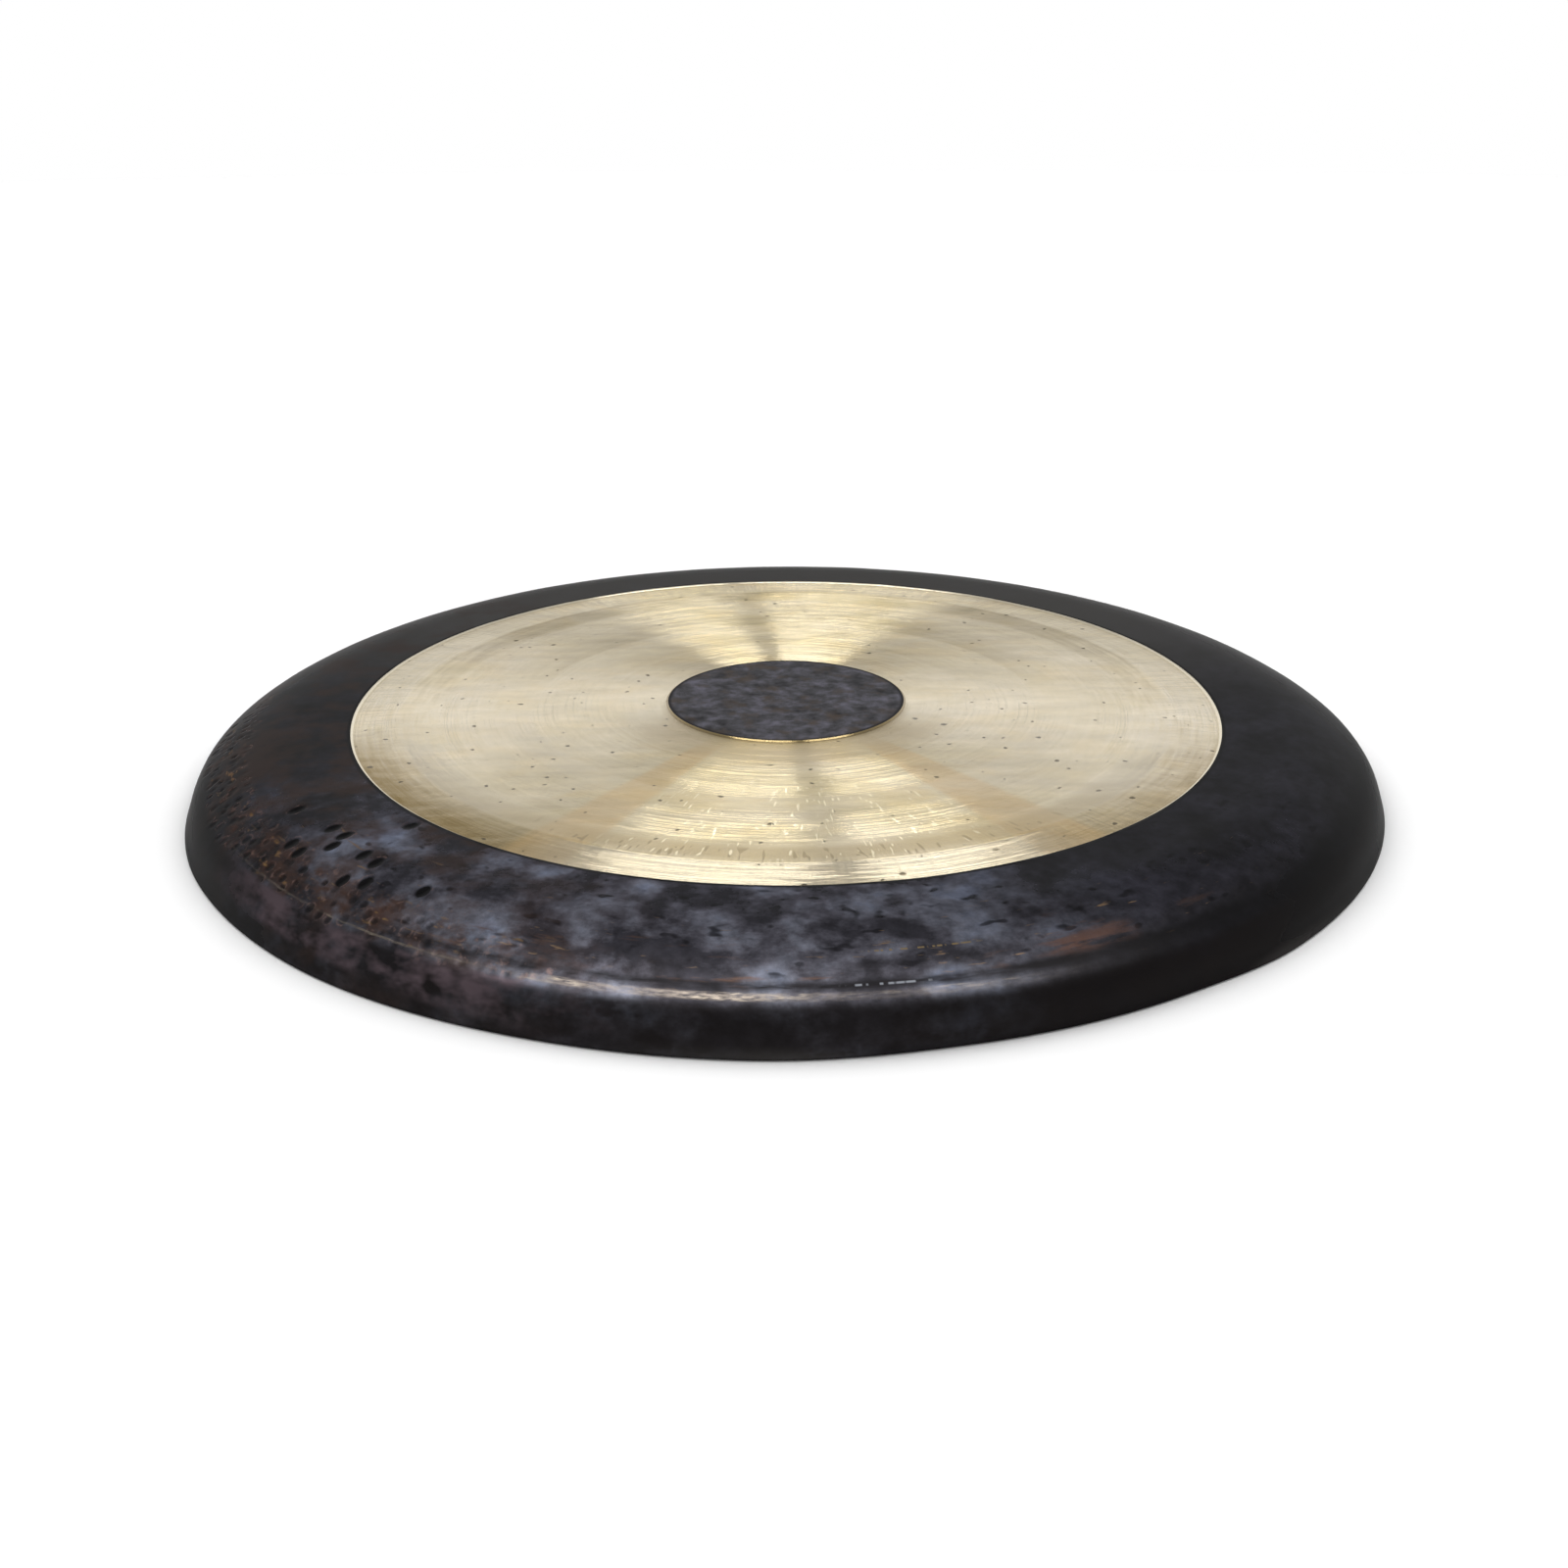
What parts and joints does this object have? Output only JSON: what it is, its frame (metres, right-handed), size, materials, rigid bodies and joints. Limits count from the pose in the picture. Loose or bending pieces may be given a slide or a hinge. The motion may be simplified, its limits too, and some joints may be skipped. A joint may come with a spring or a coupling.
{
  "type": "chau gong",
  "caption": "Chau gong (tam-tam): a hammered bronze disc with a turned rim, a scraped bright ring between a dark centre and a dark rim, and cord holes in the rim wall.",
  "frame": {"origin": "on the floor, under the middle of the face, with the gong lying face up on the edge of its rim", "axes": "+Z out of the struck face, +Y towards the side of the rim with the two cord holes, +X to the right when looking along +Y"},
  "size_m": [0.7998, 0.7998, 0.0435],
  "materials": {
    "hammered_bronze": "cast and hammered bell bronze: satin scraped ring, fire-blackened centre, rim and hollow side"
  },
  "bodies": {
    "root": {"gong_shell": "hammered_bronze"}
  },
  "joints": []
}
